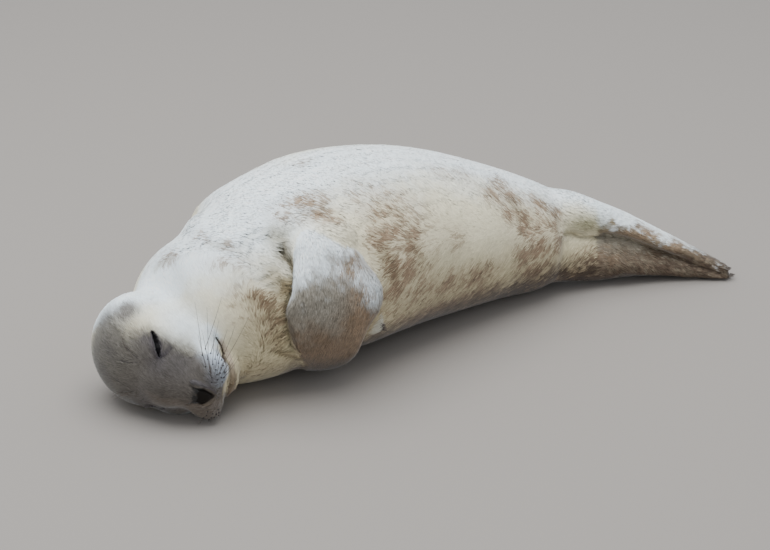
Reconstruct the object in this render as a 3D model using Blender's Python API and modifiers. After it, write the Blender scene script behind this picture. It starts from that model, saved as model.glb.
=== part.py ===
"""A grey seal pup in its white birth coat, asleep on its right side with the belly towards -Y.

In metres: +X runs from the head towards the hind flippers, +Y is the back, +Z is up, and the
floor is z = 0. The solids reach out to the tips of the coat. The origin is below the middle.
"""

import math

import bmesh
import bpy
from mathutils import Matrix, Vector

# ---------------------------------------------------------------- driving dimensions
GAP = 0.0003            # between solids that meet face to face
BLADE_GAP = 0.0045      # between the left foreflipper's free blade and the chest
VOXEL_BODY = 0.006      # grid on which the body's forms are fused
VOXEL_LIMB = 0.0035
BODY_TRIANGLES = 4100   # head, neck, trunk and hindquarters together
FORE_TRIANGLES = 640
HIND_TRIANGLES = 480
RING_SIDES = 40         # sides of a body section
LIMB_SIDES = 24         # sides of a flipper section
DIGITS = 5

# The body's sections from the throat to the ankles.
# (x, y, height of the centre, half height, half depth from belly to back)
BODY_SECTIONS = [
    (-0.332, 0.078, 0.090, 0.064, 0.060),
    (-0.298, 0.078, 0.098, 0.096, 0.096),
    (-0.255, 0.068, 0.111, 0.115, 0.122),
    (-0.201, 0.064, 0.122, 0.128, 0.141),
    (-0.136, 0.083, 0.132, 0.138, 0.152),
    (-0.044, 0.102, 0.138, 0.144, 0.160),
    (0.063, 0.126, 0.130, 0.136, 0.150),
    (0.157, 0.137, 0.116, 0.122, 0.135),
    (0.245, 0.141, 0.097, 0.103, 0.114),
    (0.318, 0.136, 0.080, 0.085, 0.094),
    (0.356, 0.131, 0.077, 0.066, 0.054),
    (0.386, 0.123, 0.073, 0.038, 0.030),
]
# (centre, radii) of the shoulder and of the arm that carries the left foreflipper
SHOULDER = ((-0.128, 0.014, 0.204), (0.072, 0.062, 0.055))
UPPER_ARM = ((-0.119, -0.018, 0.208), (0.058, 0.050, 0.042))

# The head's own frame: x to the nose, y to its left side, z to the crown.
HEAD_ORIGIN = Vector((-0.360, 0.036, 0.076))
NOSE_WAY = Vector((0.137, -0.973, -0.185))
LEFT_WAY = Vector((0.072, -0.177, 0.982))
# (centre, radii) in the head's frame; a form off the midline is mirrored.
HEAD_FORMS = {
    "cranium": ((-0.004, 0.0, -0.004), (0.085, 0.080, 0.070)),
    "forehead": ((0.054, 0.0, 0.000), (0.060, 0.048, 0.044)),
    "cheek": ((0.036, 0.040, -0.030), (0.058, 0.039, 0.046)),
    "brow": ((0.048, 0.034, 0.026), (0.026, 0.022, 0.015)),
    "bridge": ((0.084, 0.0, -0.010), (0.044, 0.035, 0.028)),
    "muzzle": ((0.086, 0.0, -0.030), (0.050, 0.044, 0.037)),
    "whisker_pad": ((0.107, 0.025, -0.036), (0.031, 0.025, 0.026)),
    "nose_pad": ((0.126, 0.0, -0.019), (0.013, 0.017, 0.013)),
    "jaw": ((0.081, 0.0, -0.073), (0.041, 0.036, 0.021)),
    "throat": ((0.005, 0.0, -0.050), (0.068, 0.060, 0.048)),
}
EYE_CENTRE = Vector((0.0525, 0.0355, 0.0120))
EYE_RADIUS = 0.0155
EYE_OUT = Vector((0.46, 0.73, 0.50))                # the way the left eye faces
LID_WAY = Vector((0.77, -0.60, 0.17))               # from the outer to the inner corner
EYE_SLIT = (0.0165, 0.0110, 0.0030)                 # half length, half depth, half opening
LID_DEPTH = 0.0040                                  # from the eyeball out to the coat
MOUTH_BOX = ((0.052, -0.050, -0.096), (0.150, 0.050, -0.064))

# Planes that part the body: (point, direction towards the head).
NECK_TO_HEAD = (Vector((-0.292, 0.045, 0.08)), Vector((-0.85, -0.50, 0.0)))
TRUNK_TO_NECK = (Vector((-0.200, 0.060, 0.10)), Vector((-1.0, -0.06, 0.0)))
RUMP_TO_TRUNK = (Vector((0.262, 0.140, 0.10)), Vector((-1.0, 0.05, 0.0)))
ANKLES = (Vector((0.400, 0.090, 0.06)), Vector((-0.93, 0.36, 0.0)))
ARMPIT = (Vector((-0.116, -0.050, 0.190)), Vector((0.0, 0.45, 0.89)))

# Flipper sections from root to tip: (x, y, z, half width, half thickness).
LEFT_FORE = [
    (-0.125, 0.002, 0.220, 0.038, 0.030),
    (-0.121, -0.040, 0.214, 0.046, 0.027),
    (-0.121, -0.066, 0.187, 0.062, 0.024),
    (-0.120, -0.081, 0.153, 0.077, 0.022),
    (-0.127, -0.078, 0.118, 0.069, 0.020),
    (-0.128, -0.063, 0.078, 0.058, 0.018),
    (-0.120, -0.038, 0.044, 0.047, 0.015),
    (-0.113, -0.017, 0.023, 0.030, 0.011),
]
RIGHT_FORE = [
    (-0.104, 0.035, 0.050, 0.020, 0.013),
    (-0.079, 0.012, 0.056, 0.020, 0.013),
    (-0.061, -0.021, 0.068, 0.018, 0.012),
    (-0.046, -0.034, 0.073, 0.016, 0.011),
    (-0.035, -0.041, 0.075, 0.012, 0.009),
]
RIGHT_HIND = [
    (0.330, 0.118, 0.050, 0.056, 0.042),
    (0.372, 0.102, 0.044, 0.047, 0.038),
    (0.412, 0.091, 0.039, 0.039, 0.037),
    (0.454, 0.085, 0.034, 0.036, 0.033),
    (0.494, 0.073, 0.026, 0.033, 0.026),
    (0.546, 0.043, 0.016, 0.024, 0.016),
    (0.576, 0.016, 0.010, 0.016, 0.010),
    (0.592, -0.001, 0.007, 0.008, 0.006),
]
LEFT_HIND = [
    (0.318, 0.134, 0.106, 0.050, 0.044),
    (0.368, 0.116, 0.109, 0.046, 0.036),
    (0.412, 0.096, 0.103, 0.038, 0.023),
    (0.450, 0.084, 0.090, 0.037, 0.016),
    (0.490, 0.068, 0.069, 0.034, 0.013),
    (0.534, 0.044, 0.046, 0.026, 0.010),
    (0.570, 0.018, 0.027, 0.016, 0.008),
    (0.588, 0.001, 0.019, 0.008, 0.006),
]
FORE_WIDTH_WAY = Vector((0.96, 0.02, -0.27))
RIGHT_FORE_WIDTH_WAY = Vector((-0.2, -0.55, 0.80))
HIND_WIDTH_WAY = Vector((-0.30, -0.95, 0.0))

TAIL_ROOT = Vector((0.360, 0.160, 0.068))
TAIL_TIP = Vector((0.438, 0.160, 0.052))
TAIL_HALF = (0.022, 0.012)                          # half width upright, half thickness

FORE_CLAW = (0.0030, 0.018)                         # radius at the root, length
HIND_CLAW = (0.0013, 0.012)

LOOKS = {                                           # colour, roughness
    "coat": ((0.80, 0.78, 0.70, 1.0), 0.9),
    "claw": ((0.05, 0.04, 0.035, 1.0), 0.35),
    "eye": ((0.010, 0.010, 0.015, 1.0), 0.08),
}


# ---------------------------------------------------------------- tools
def make_material(name):
    colour, roughness = LOOKS[name]
    made = bpy.data.materials.new(name)
    made.use_nodes = True
    shader = made.node_tree.nodes["Principled BSDF"]
    shader.inputs["Base Color"].default_value = colour
    shader.inputs["Roughness"].default_value = roughness
    shader.inputs["Metallic"].default_value = 0.0
    return made


def make_collection(name):
    made = bpy.data.collections.new(name)
    bpy.context.scene.collection.children.link(made)
    return made


def new_object(name, form, home):
    """An object from a bmesh, with its faces pointing out."""
    bmesh.ops.recalc_face_normals(form, faces=form.faces)
    mesh = bpy.data.meshes.new(name)
    form.to_mesh(mesh)
    form.free()
    made = bpy.data.objects.new(name, mesh)
    home.objects.link(made)
    return made


def new_cutter(name, form, home):
    made = new_object(name, form, home)
    made.hide_render = True
    made.display_type = "WIRE"
    return made


def apply_modifiers(obj):
    """Replaces an object's mesh by the one that its modifiers make."""
    graph = bpy.context.evaluated_depsgraph_get()
    mesh = bpy.data.meshes.new_from_object(obj.evaluated_get(graph))
    obj.modifiers.clear()
    obj.data = mesh


def smooth_rows(sections, steps):
    """Smooth sections: a Catmull-Rom curve through rows of plain numbers."""
    rows = []
    last = len(sections) - 1
    for i in range(last):
        near = [sections[max(0, min(last, i + k))] for k in (-1, 0, 1, 2)]
        for step in range(steps):
            t = step / steps
            row = []
            for p, q, r, s in zip(*near):
                bend = (r - p) * t + (2 * p - 5 * q + 4 * r - s) * t**2
                row.append(q + 0.5 * (bend + (3 * q - p - 3 * r + s) * t**3))
            rows.append(row)
    rows.append(list(sections[last]))
    return rows


def ring(middle, across, up, wide, high, sides):
    """The points of an ellipse."""
    turns = [2 * math.pi * k / sides for k in range(sides)]
    return [middle + across * wide * math.cos(a) + up * high * math.sin(a) for a in turns]


def add_loft(form, rings):
    """Adds a closed skin over rings of equally many points, with a pole beyond each end."""
    loops = [[form.verts.new(p) for p in points] for points in rings]
    for low, high in zip(loops, loops[1:]):
        for i in range(len(low)):
            j = (i + 1) % len(low)
            form.faces.new((low[i], low[j], high[j], high[i]))
    for end, inner in ((loops[0], loops[1]), (loops[-1], loops[-2])):
        middle = sum((v.co for v in end), Vector()) / len(end)
        before = sum((v.co for v in inner), Vector()) / len(inner)
        reach = sum((v.co - middle).length for v in end) / len(end)
        pole = form.verts.new(middle + (middle - before).normalized() * reach * 0.45)
        for i in range(len(end)):
            form.faces.new((end[i], end[(i + 1) % len(end)], pole))


def add_ellipsoid(form, centre, radii, turn=Matrix.Identity(3), detail=(32, 20)):
    place = Matrix.Translation(centre) @ turn.to_4x4() @ Matrix.Diagonal((*radii, 1.0))
    bmesh.ops.create_uvsphere(form, u_segments=detail[0], v_segments=detail[1],
                              radius=1.0, matrix=place)


def fuse(obj, voxel, rounds, triangles):
    """Joins overlapping forms into one closed skin, softens it and thins its triangles."""
    remesh = obj.modifiers.new("fuse", "REMESH")
    remesh.mode = "VOXEL"
    remesh.voxel_size = voxel
    soften = obj.modifiers.new("soften", "SMOOTH")
    soften.factor = 0.5
    soften.iterations = rounds
    apply_modifiers(obj)
    now = sum(len(face.vertices) - 2 for face in obj.data.polygons)
    thin = obj.modifiers.new("thin", "DECIMATE")
    thin.ratio = min(1.0, triangles / now)
    apply_modifiers(obj)


def cut(target, cutter, operation="DIFFERENCE"):
    change = target.modifiers.new("cut", "BOOLEAN")
    change.operation = operation
    change.object = cutter
    apply_modifiers(target)
    form = bmesh.new()
    form.from_mesh(target.data)
    bmesh.ops.remove_doubles(form, verts=form.verts, dist=0.00002)
    bmesh.ops.dissolve_degenerate(form, edges=form.edges, dist=0.00002)
    form.to_mesh(target.data)
    form.free()


def keep_largest(obj):
    """Drops all but the largest closed body of an object's mesh."""
    form = bmesh.new()
    form.from_mesh(obj.data)
    left, bodies = set(form.verts), []
    while left:
        body, edge = set(), {left.pop()}
        while edge:
            body |= edge
            edge = {e.other_vert(v) for v in edge for e in v.link_edges} - body
        left -= body
        bodies.append(body)
    bodies.sort(key=len)
    bmesh.ops.delete(form, geom=[v for body in bodies[:-1] for v in body], context="VERTS")
    form.to_mesh(obj.data)
    form.free()


def grown(obj, name, by, home):
    """A cutter like obj, but bigger by a gap all round."""
    form = bmesh.new()
    form.from_mesh(obj.data)
    form.normal_update()
    moves = [(v, v.normal * by) for v in form.verts]
    for v, move in moves:
        v.co += move
    return new_cutter(name, form, home)


def keep_behind(form, point, way):
    """Cuts a bmesh at a plane, drops what lies on the side of way, and closes the cut."""
    whole = form.verts[:] + form.edges[:] + form.faces[:]
    bmesh.ops.bisect_plane(form, geom=whole, plane_co=point, plane_no=way,
                           clear_outer=True, dist=1e-6)
    rim = [edge for edge in form.edges if edge.is_boundary]
    bmesh.ops.holes_fill(form, edges=rim, sides=0)
    bmesh.ops.triangulate(form, faces=[face for face in form.faces if len(face.verts) > 4])


def trim(obj, point, way):
    """Cuts an object's own mesh at a plane and drops what lies on the side of way."""
    form = bmesh.new()
    form.from_mesh(obj.data)
    keep_behind(form, point, way)
    bmesh.ops.recalc_face_normals(form, faces=form.faces)
    form.to_mesh(obj.data)
    form.free()


def split(obj, plane, name, home):
    """Parts obj at a plane: obj keeps the tail side, the new object is the head side."""
    point, way = plane[0], plane[1].normalized()
    front = obj.copy()
    front.name = name
    front.data = obj.data.copy()
    home.objects.link(front)
    trim(front, point + way * GAP / 2, -way)
    trim(obj, point - way * GAP / 2, way)
    return front


# ---------------------------------------------------------------- the body
def head_place():
    nose = NOSE_WAY.normalized()
    left = (LEFT_WAY - nose * LEFT_WAY.dot(nose)).normalized()
    turn = Matrix((nose, left, nose.cross(left))).transposed()
    return Matrix.Translation(HEAD_ORIGIN) @ turn.to_4x4()


def limb_rings(sections, width_way):
    """The smooth sections of a flipper: (centre, across, up, half width, half thickness)."""
    rows = smooth_rows(sections, 4)
    centres = [Vector(row[:3]) for row in rows]
    made = []
    for i, row in enumerate(rows):
        along = centres[min(len(rows) - 1, i + 1)] - centres[max(0, i - 1)]
        along.normalize()
        across = (width_way - along * width_way.dot(along)).normalized()
        made.append((centres[i], across, along.cross(across), row[3], row[4]))
    return made


def add_limb(form, sections, width_way):
    rings = [ring(*row, LIMB_SIDES) for row in limb_rings(sections, width_way)]
    add_loft(form, rings)


def add_trunk(form):
    rows = smooth_rows(BODY_SECTIONS, 4)
    rings = []
    for i, (x, y, z, high, deep) in enumerate(rows):
        before, after = rows[max(0, i - 1)], rows[min(len(rows) - 1, i + 1)]
        along = Vector((after[0] - before[0], after[1] - before[1], 0.0)).normalized()
        across = Vector((-along.y, along.x, 0.0))
        rings.append(ring(Vector((x, y, z)), across, Vector((0, 0, 1)), deep, high, RING_SIDES))
    add_loft(form, rings)


def add_head(form):
    place = head_place()
    for centre, radii in HEAD_FORMS.values():
        for side in ((1,) if centre[1] == 0.0 else (1, -1)):
            at = place @ Vector((centre[0], centre[1] * side, centre[2]))
            add_ellipsoid(form, at, radii, place.to_3x3())


def make_body(home):
    """Head, neck, trunk and hindquarters as one skin, on small flats at the floor."""
    form = bmesh.new()
    add_trunk(form)
    add_head(form)
    add_ellipsoid(form, *SHOULDER)
    add_ellipsoid(form, *UPPER_ARM)
    for sections in (RIGHT_HIND, LEFT_HIND):
        add_limb(form, sections[:4], HIND_WIDTH_WAY)
    body = new_object("hindquarters", form, home)
    fuse(body, VOXEL_BODY, 5, BODY_TRIANGLES)
    trim(body, Vector((0, 0, 0)), Vector((0, 0, -1)))
    trim(body, ANKLES[0] + ANKLES[1].normalized() * GAP / 2, -ANKLES[1])
    return body


def make_tail(home):
    """A short flat tail, held along the body."""
    form = bmesh.new()
    along = (TAIL_TIP - TAIL_ROOT).normalized()
    up = (Vector((0, 0, 1)) - along * along.z).normalized()
    across = along.cross(up)
    rings = []
    for step in range(8):
        t = step / 7
        slim = math.sqrt(max(0.0, 1.0 - t**2.6)) * (1.0 - 0.25 * t) + 0.12
        middle = TAIL_ROOT.lerp(TAIL_TIP, t)
        rings.append(ring(middle, up, across, TAIL_HALF[0] * slim, TAIL_HALF[1] * slim, 14))
    add_loft(form, rings)
    return new_object("tail", form, home)


# ---------------------------------------------------------------- flippers and claws
def digit_line(rows, digit):
    """The middle line of a digit: (point, radius) along the outer part of a flipper."""
    spread = (digit / (DIGITS - 1) - 0.5) * 1.5
    first = len(rows) // 3
    line = []
    for i, (middle, across, _, wide, thick) in enumerate(rows[first:]):
        grow = 0.60 + 0.48 * min(1.0, 1.5 * i / (len(rows) - first))
        line.append((middle + across * wide * spread, thick * grow * (1.0 - 0.3 * abs(spread))))
    return line


def make_flipper(name, sections, width_way, triangles, home):
    """A paddle along its sections, with a low ridge over each digit."""
    form = bmesh.new()
    add_limb(form, sections, width_way)
    rows = limb_rings(sections, width_way)
    for digit in range(DIGITS):
        line = digit_line(rows, digit)
        rings = []
        for i, (middle, reach) in enumerate(line):
            along = line[min(len(line) - 1, i + 1)][0] - line[max(0, i - 1)][0]
            side = (rows[0][1] - along * rows[0][1].dot(along) / along.length_squared).normalized()
            up = along.normalized().cross(side)
            rings.append(ring(middle, side, up, reach, reach, 12))
        add_loft(form, rings)
    flipper = new_object(name, form, home)
    fuse(flipper, VOXEL_LIMB, 4, triangles)
    trim(flipper, Vector((0, 0, 0)), Vector((0, 0, -1)))
    return flipper


def make_claws(name, flipper, body, sections, width_way, size, curl, home):
    """A curved claw on each digit, cut where it leaves the coat."""
    radius, length = size
    rows = limb_rings(sections, width_way)
    coat = grown(flipper, name + "_coat", GAP, body.users_collection[0])
    along = (rows[-1][0] - rows[-4][0]).normalized()
    made = []
    for digit in range(DIGITS):
        tip = digit_line(rows, digit)[-1][0]
        start = tip - along * length * 0.35
        side = along.orthogonal().normalized()
        rings = []
        for step in range(4):
            t = step / 3
            middle = start + along * length * t + curl * length * 0.45 * t**2
            slim = radius * (1.0 - 0.84 * t**1.5)
            rings.append(ring(middle, side, along.cross(side), slim, slim, 5))
        form = bmesh.new()
        add_loft(form, rings)
        claw = new_object("%s_%d" % (name, digit + 1), form, home)
        cut(claw, coat)
        cut(claw, body)
        keep_largest(claw)
        made.append(claw)
    return made


# ---------------------------------------------------------------- head pieces
def make_eye(name, side, head, seal, cutters):
    """An eyeball in a socket that opens at the slit between the lids."""
    mirror = Matrix.Diagonal((1.0, side, 1.0))
    place = head_place()
    centre = place @ (mirror @ EYE_CENTRE)
    out = mirror @ EYE_OUT.normalized()
    along = mirror @ LID_WAY
    along = (along - out * along.dot(out)).normalized()
    turn = place.to_3x3() @ Matrix((along, out, along.cross(out))).transposed()
    form = bmesh.new()
    add_ellipsoid(form, centre, (EYE_RADIUS,) * 3, turn, (14, 8))
    eye = new_object(name, form, seal)
    form = bmesh.new()
    add_ellipsoid(form, centre, (EYE_RADIUS + GAP,) * 3, turn, (14, 8))
    socket = new_cutter(name + "_socket", form, cutters)
    form = bmesh.new()
    front = centre + turn.col[1] * (EYE_RADIUS + LID_DEPTH)
    add_ellipsoid(form, front, EYE_SLIT, turn, (12, 6))
    slit = new_cutter(name + "_slit", form, cutters)
    cut(socket, slit, "UNION")
    cut(head, socket)
    return eye


def make_jaw(head, seal, cutters):
    """The lower jaw, parted from the head along the mouth."""
    low, high = (Vector(corner) for corner in MOUTH_BOX)
    for name, by in (("mouth_inner", 0.0), ("mouth_outer", GAP)):
        form = bmesh.new()
        size = Matrix.Diagonal((*(high - low + Vector((by, by, by)) * 2), 1.0))
        place = head_place() @ Matrix.Translation((low + high) / 2)
        bmesh.ops.create_cube(form, size=1.0, matrix=place @ size)
        new_cutter(name, form, cutters)
    jaw = head.copy()
    jaw.name = "lower_jaw"
    jaw.data = head.data.copy()
    seal.objects.link(jaw)
    cut(jaw, bpy.data.objects["mouth_inner"], "INTERSECT")
    cut(head, bpy.data.objects["mouth_outer"])
    return jaw


def stand_at_origin(pieces):
    """Moves everything so that the origin is below the middle of the box, on the floor."""
    corners = [v.co for piece in pieces for v in piece.data.vertices]
    low = Vector([min(c[i] for c in corners) for i in range(3)])
    high = Vector([max(c[i] for c in corners) for i in range(3)])
    middle = Vector(((low.x + high.x) / 2, (low.y + high.y) / 2, 0.0))
    for obj in bpy.data.objects:
        obj.data.transform(Matrix.Translation(-middle))
    return middle


def main():
    for old in list(bpy.data.objects):
        bpy.data.objects.remove(old)
    seal = make_collection("grey_seal_pup")
    cutters = make_collection("cutters")
    looks = {name: make_material(name) for name in LOOKS}

    rump = make_body(seal)
    whole = grown(rump, "whole_body", GAP, cutters)
    chest = grown(rump, "chest", BLADE_GAP, cutters)
    trim(chest, ARMPIT[0], ARMPIT[1])

    left_fore = make_flipper("left_foreflipper", LEFT_FORE, FORE_WIDTH_WAY, FORE_TRIANGLES, seal)
    cut(left_fore, chest)
    right_fore = make_flipper("right_foreflipper", RIGHT_FORE, RIGHT_FORE_WIDTH_WAY,
                              FORE_TRIANGLES // 2, seal)
    right_hind = make_flipper("right_hindflipper", RIGHT_HIND, HIND_WIDTH_WAY,
                              HIND_TRIANGLES, seal)
    left_hind = make_flipper("left_hindflipper", LEFT_HIND, HIND_WIDTH_WAY, HIND_TRIANGLES, seal)
    for hind in (right_hind, left_hind):
        trim(hind, ANKLES[0] - ANKLES[1].normalized() * GAP / 2, ANKLES[1])
    cut(left_hind, grown(right_hind, "right_hind_room", 3 * GAP, cutters))
    tail = make_tail(seal)
    for piece in (left_fore, right_fore, tail):
        cut(piece, whole)

    trunk = split(rump, RUMP_TO_TRUNK, "trunk", seal)
    neck = split(trunk, TRUNK_TO_NECK, "neck", seal)
    head = split(neck, NECK_TO_HEAD, "head", seal)
    eyes = [make_eye("left_eye", 1, head, seal, cutters),
            make_eye("right_eye", -1, head, seal, cutters)]
    jaw = make_jaw(head, seal, cutters)
    claws = []
    claws += make_claws("left_fore_claw", left_fore, whole, LEFT_FORE, FORE_WIDTH_WAY,
                        FORE_CLAW, Vector((0.0, -0.3, -0.1)), seal)
    claws += make_claws("right_fore_claw", right_fore, whole, RIGHT_FORE, RIGHT_FORE_WIDTH_WAY,
                        FORE_CLAW, Vector((0.2, -0.1, -0.5)), seal)
    claws += make_claws("left_hind_claw", left_hind, whole, LEFT_HIND, HIND_WIDTH_WAY,
                        HIND_CLAW, Vector((0.1, 0.0, 0.2)), seal)
    claws += make_claws("right_hind_claw", right_hind, whole, RIGHT_HIND, HIND_WIDTH_WAY,
                        HIND_CLAW, Vector((0.3, -0.1, 0.2)), seal)

    flesh = [head, jaw, neck, trunk, rump, tail, left_fore, right_fore, left_hind, right_hind]
    for look, pieces in (("coat", flesh), ("eye", eyes), ("claw", claws)):
        for piece in pieces:
            piece.data.materials.clear()
            piece.data.materials.append(looks[look])
            piece.data.shade_smooth()
            piece.data.set_sharp_from_angle(angle=math.radians(50))
    return stand_at_origin(flesh + eyes + claws)


main()
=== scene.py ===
"""A grey seal pup asleep on its right side: its skin, its woolly coat, face, whiskers and eyes.

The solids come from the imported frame. The skin lies under them by the depth of the coat, and the
tufts reach back out to them. Lengths are in metres, and in millimetres where a comment says so.
"""

import math

import bmesh
import bpy
import numpy as np
from mathutils import Matrix, Vector
from mathutils.bvhtree import BVHTree


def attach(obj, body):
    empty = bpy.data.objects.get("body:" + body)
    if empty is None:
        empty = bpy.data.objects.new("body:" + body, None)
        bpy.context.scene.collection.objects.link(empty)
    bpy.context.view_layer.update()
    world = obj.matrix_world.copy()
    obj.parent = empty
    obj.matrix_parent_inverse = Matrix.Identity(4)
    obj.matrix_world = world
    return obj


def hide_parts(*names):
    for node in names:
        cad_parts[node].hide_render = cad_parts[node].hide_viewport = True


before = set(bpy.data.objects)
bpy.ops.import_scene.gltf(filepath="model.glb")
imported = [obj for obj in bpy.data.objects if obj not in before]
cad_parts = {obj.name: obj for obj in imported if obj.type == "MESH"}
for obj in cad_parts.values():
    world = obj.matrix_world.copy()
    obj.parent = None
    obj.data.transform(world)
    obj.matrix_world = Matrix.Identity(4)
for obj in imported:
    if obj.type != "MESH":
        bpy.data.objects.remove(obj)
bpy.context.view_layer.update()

# ---------------------------------------------------------------- driving numbers
MIDDLE = np.array((0.0885249, 0.0859105, 0.0))   # from the solids' drawing frame to this one
FLESH = ["head", "lower_jaw", "neck", "trunk", "hindquarters", "tail",
         "left_foreflipper", "right_foreflipper", "left_hindflipper", "right_hindflipper"]
EYES = ["left_eye", "right_eye"]
SWELL = 0.0004          # closes the thin cuts between the solids
VOXEL = 0.0030          # the cells that the skin is first made of
TUFTS = 146000
TUFTS_PER_PIECE = 19500
BAKE_PATCH = 0.003      # across each tuft's patch of the OFBake map
MEETING = math.radians(18)   # the coat's two sides meet this far above the belly's middle line
SEED = 11

# The head's own frame.
HEAD_ORIGIN = np.array((-0.360, 0.036, 0.076)) - MIDDLE
NOSE_WAY = np.array((0.137, -0.973, -0.185))
LEFT_WAY = np.array((0.072, -0.177, 0.982))

# The middle line of the body: x, y, height.
BODY_LINE = np.array([
    (-0.332, 0.078, 0.090), (-0.255, 0.070, 0.111), (-0.201, 0.067, 0.122),
    (-0.136, 0.087, 0.133), (-0.044, 0.102, 0.138), (0.063, 0.126, 0.130),
    (0.157, 0.137, 0.116), (0.245, 0.141, 0.097), (0.318, 0.136, 0.080),
    (0.386, 0.119, 0.073), (0.450, 0.084, 0.060)]) - MIDDLE
# The middle lines of the flippers and the tail, from root to tip.
LIMB_LINES = {
    "left_foreflipper": [(-0.121, -0.040, 0.214), (-0.121, -0.066, 0.187), (-0.120, -0.081, 0.153),
                         (-0.127, -0.078, 0.118), (-0.128, -0.063, 0.078), (-0.120, -0.038, 0.044)],
    "right_foreflipper": [(-0.104, 0.035, 0.050), (-0.061, -0.021, 0.068), (-0.035, -0.041, 0.075)],
    "left_hindflipper": [(0.368, 0.116, 0.109), (0.412, 0.096, 0.103), (0.450, 0.084, 0.090),
                         (0.490, 0.068, 0.069), (0.534, 0.044, 0.046), (0.588, 0.001, 0.019)],
    "right_hindflipper": [(0.372, 0.102, 0.044), (0.454, 0.085, 0.034), (0.494, 0.073, 0.026),
                          (0.546, 0.043, 0.016), (0.592, -0.001, 0.007)],
    "tail": [(0.360, 0.160, 0.068), (0.438, 0.160, 0.052)],
}


# ---------------------------------------------------------------- small tools
def unit(v):
    return v / np.maximum(np.linalg.norm(v, axis=-1, keepdims=True), 1e-9)


def fade(x, low, high):
    """0 below low, 1 above high, smooth between."""
    t = np.clip((x - low) / (high - low), 0.0, 1.0)
    return t * t * (3.0 - 2.0 * t)


def srgb(*rgb):
    c = np.array(rgb) / 255.0
    return np.where(c <= 0.04045, c / 12.92, ((c + 0.055) / 1.055) ** 2.4)


def mix(a, b, t):
    t = np.asarray(t)[..., None]
    return a * (1.0 - t) + b * t


def noise(p, size, seed):
    """Smooth value noise of a given grain, from 0 to 1."""
    q = p / size + 100.0
    cell = np.floor(q).astype(np.int64)
    f = q - cell
    f = f * f * (3.0 - 2.0 * f)
    out = np.zeros(len(p))
    for dx in (0, 1):
        for dy in (0, 1):
            for dz in (0, 1):
                # a whole number for each corner of the cell, scrambled
                h = (cell[:, 0] + dx) * 73856093 ^ (cell[:, 1] + dy) * 19349663
                h = h ^ (cell[:, 2] + dz) * 83492791 ^ seed * 2654435761
                h = (h * 1103515245 + 12345) & 0x7FFFFFFF
                h = ((h >> 7) * 69069 + 1) & 0xFFFFFF
                w = np.abs(1 - dx - f[:, 0]) * np.abs(1 - dy - f[:, 1]) * np.abs(1 - dz - f[:, 2])
                out += w * h / 0xFFFFFF
    return out


def blob(p, centre, radii):
    """1 at the centre, falling smoothly to 0 outside."""
    d = ((p - np.array(centre)) / np.array(radii)) ** 2
    return np.exp(-1.4 * d.sum(1))


def head_axes():
    nose = unit(NOSE_WAY)
    left = unit(LEFT_WAY - nose * (LEFT_WAY @ nose))
    return np.column_stack((nose, left, np.cross(nose, left)))


HEAD = head_axes()


def to_head(p):
    """Points in the head's own frame: x to the nose, y to its left side, z to the crown."""
    return (p - HEAD_ORIGIN) @ HEAD


def mirrored(q):
    """Both sides of the face laid over the left one, as it is the same on both."""
    return np.column_stack((q[:, 0], np.abs(q[:, 1]), q[:, 2]))


def head_weight(part):
    return np.minimum(1.0, part["head"] + part["lower_jaw"])


def from_head(q):
    return HEAD_ORIGIN + np.asarray(q) @ HEAD.T


def drawn(points):
    """Points in millimetres in the solids' drawing frame, in this frame in metres."""
    return np.array(points) / 1000.0 - MIDDLE


def corners(co, tris):
    return co[tris[:, 0]], co[tris[:, 1]], co[tris[:, 2]]


def vertex_normals(co, tris):
    a, b, c = corners(co, tris)
    flat = np.cross(b - a, c - a)
    out = np.zeros_like(co)
    for k in range(3):
        for axis in range(3):
            out[:, axis] += np.bincount(tris[:, k], flat[:, axis], len(co))
    return unit(out)


class Net:
    """The neighbours of each vertex, for smoothing values over the skin."""

    def __init__(self, tris, count):
        pairs = np.concatenate((tris[:, :2], tris[:, 1:], tris[:, ::2]))
        pairs = np.unique(np.sort(pairs, axis=1), axis=0)
        self.a = np.concatenate((pairs[:, 0], pairs[:, 1]))
        self.b = np.concatenate((pairs[:, 1], pairs[:, 0]))
        self.count = count
        self.degree = np.bincount(self.a, minlength=count).clip(1)

    def mean(self, values):
        if values.ndim == 1:
            return np.bincount(self.a, values[self.b], self.count) / self.degree
        return np.column_stack([self.mean(values[:, k]) for k in range(values.shape[1])])

    def smooth(self, values, rounds, amount=0.5):
        for _ in range(rounds):
            step = amount if np.isscalar(amount) or values.ndim == 1 else amount[:, None]
            values = values + (self.mean(values) - values) * step
        return values


def mesh_from(name, co, faces):
    mesh = bpy.data.meshes.new(name)
    size = faces.shape[1]
    mesh.vertices.add(len(co))
    mesh.vertices.foreach_set("co", np.ascontiguousarray(co, dtype=np.float32).ravel())
    mesh.loops.add(faces.size)
    mesh.loops.foreach_set("vertex_index", np.ascontiguousarray(faces, dtype=np.int32).ravel())
    mesh.polygons.add(len(faces))
    mesh.polygons.foreach_set("loop_start", np.arange(0, faces.size, size, dtype=np.int32))
    mesh.update(calc_edges=True)
    mesh.polygons.foreach_set("use_smooth", np.ones(len(faces), dtype=bool))
    return mesh


def add_object(name, mesh):
    made = bpy.data.objects.new(name, mesh)
    bpy.context.scene.collection.objects.link(made)
    return made


def arrays(mesh):
    co = np.empty(len(mesh.vertices) * 3, dtype=np.float32)
    mesh.vertices.foreach_get("co", co)
    mesh.calc_loop_triangles()
    tris = np.empty(len(mesh.loop_triangles) * 3, dtype=np.int32)
    mesh.loop_triangles.foreach_get("vertices", tris)
    return co.reshape(-1, 3).astype(float), tris.reshape(-1, 3)


def paint(mesh, colours):
    layer = mesh.color_attributes.new("Coat", "FLOAT_COLOR", "POINT")
    rgba = np.ones((len(colours), 4), dtype=np.float32)
    rgba[:, :3] = colours
    layer.data.foreach_set("color", rgba.ravel())


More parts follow.
